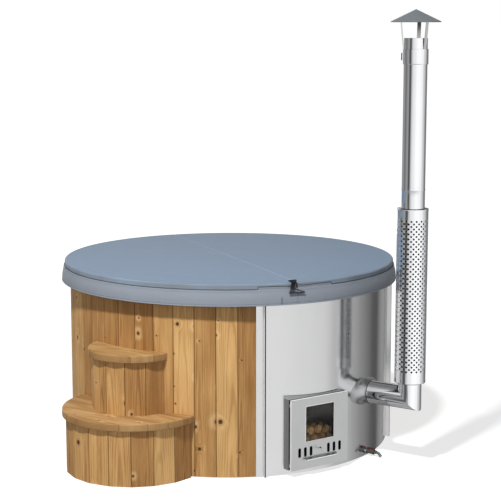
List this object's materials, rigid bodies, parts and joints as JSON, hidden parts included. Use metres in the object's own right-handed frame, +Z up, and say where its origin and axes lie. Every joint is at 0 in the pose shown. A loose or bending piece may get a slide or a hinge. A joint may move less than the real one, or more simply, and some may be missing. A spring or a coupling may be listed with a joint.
{
  "type": "hot tub",
  "caption": "Round timber-clad hot tub with moulded basin, built-in wood stove behind a steel panel, outside flue with guard, folding padded cover and round steps.",
  "frame": {"origin": "the drum's axis on the ground", "axes": "+Z up, -Y towards the front of the picture with the steps to its left, +X to the viewer's right towards the stove panel and the flue"},
  "size_m": [2.0334, 2.0083, 2.403],
  "materials": {
    "thermowood": "matt oiled heat-treated softwood",
    "construction_timber": "sawn softwood",
    "step_wood": "matt oiled heat-treated softwood",
    "firewood": "dry split logs",
    "shell_laminate": "smooth gelcoat on glass-fibre laminate",
    "panel_steel": "bright stainless sheet",
    "door_steel": "brushed stainless sheet",
    "flue_steel": "polished stainless tube",
    "stove_steel": "welded steel plate",
    "cast_grate": "as cast",
    "fittings_steel": "plain",
    "black_steel": "black",
    "window_glass": "clear heat-proof glass",
    "rope_seal": "woven sealing rope",
    "handle_red": "dipped coating",
    "spout_steel": "dull",
    "cover_vinyl": "coated cover fabric",
    "cover_skirt": "coated cover fabric",
    "strap_webbing": "woven webbing",
    "loop_plastic": "moulded"
  },
  "bodies": {
    "tub": {"base_skids": "construction_timber", "base_joists": "construction_timber", "frame_hoops": "construction_timber", "frame_posts": "construction_timber", "cladding_boards": "thermowood", "tub_shell": "shell_laminate", "floor_drain_grate": "fittings_steel", "steel_panel": "panel_steel", "panel_trims": "panel_steel", "panel_rails": "construction_timber", "stove_surround": "door_steel", "firebox": "stove_steel", "firebox_stand": "stove_steel", "fire_grate": "cast_grate", "ash_tray": "fittings_steel", "firewood": "firewood", "smoke_box": "stove_steel", "circulation_pipes": "fittings_steel", "circulation_grilles": "fittings_steel", "flue_stub": "flue_steel", "flue_elbow": "flue_steel", "flue_pipe_lower": "flue_steel", "flue_pipe_upper": "flue_steel", "cap_clamp_band": "flue_steel", "cap_legs": "flue_steel", "rain_cap": "flue_steel", "heat_guard": "flue_steel", "guard_spacers": "fittings_steel", "drain_pipe": "fittings_steel", "drain_valve": "fittings_steel", "drain_spout": "spout_steel", "frame_hinge_ears": "fittings_steel", "hinge_pins": "black_steel", "step_lower_risers": "step_wood", "step_lower_tread": "step_wood", "step_lower_plates": "construction_timber", "step_upper_risers": "step_wood", "step_upper_tread": "step_wood", "step_upper_plates": "construction_timber"},
    "drain_handle": {"drain_handle": "handle_red"},
    "stove_door": {"door_leaf": "door_steel", "door_inner_frame": "fittings_steel", "door_glass": "window_glass", "glass_retainer": "fittings_steel", "door_seal": "rope_seal", "door_handle": "door_steel", "door_hinge_ears": "fittings_steel", "slide_guides": "fittings_steel"},
    "air_slide": {"air_slide": "fittings_steel", "air_knob": "door_steel"},
    "cover_right": {"cover_pad_right": "cover_vinyl", "cover_skirt_right": "cover_skirt", "cover_flap_right": "cover_skirt"},
    "cover_left": {"cover_pad_left": "cover_vinyl", "cover_skirt_left": "cover_skirt", "cover_flap_left": "cover_skirt", "cover_strap": "strap_webbing", "cover_pull_loop": "loop_plastic"}
  },
  "joints": [
    {"name": "cover_lift", "type": "slide", "parent": "tub", "child": "cover_right", "axis": [0, 0, 1], "range_m": [0, 0.3]},
    {"name": "cover_fold", "type": "hinge", "parent": "cover_right", "child": "cover_left", "pos_m": [0, 0, 1.0323], "axis": [-0.3714, 0.9285, 0], "range_deg": [0, 180]},
    {"name": "stove_door_hinge", "type": "hinge", "parent": "tub", "child": "stove_door", "pos_m": [0.31256, -0.89328, 0.2245], "axis": [0, 0, -1], "range_deg": [0, 105]},
    {"name": "air_slide_travel", "type": "slide", "parent": "stove_door", "child": "air_slide", "axis": [0.8329, 0.5534, 0], "range_m": [0, 0.016]},
    {"name": "drain_handle_turn", "type": "hinge", "parent": "tub", "child": "drain_handle", "pos_m": [0.771, -0.52005, 0.042], "axis": [0, 0, 1], "range_deg": [0, 90]}
  ]
}
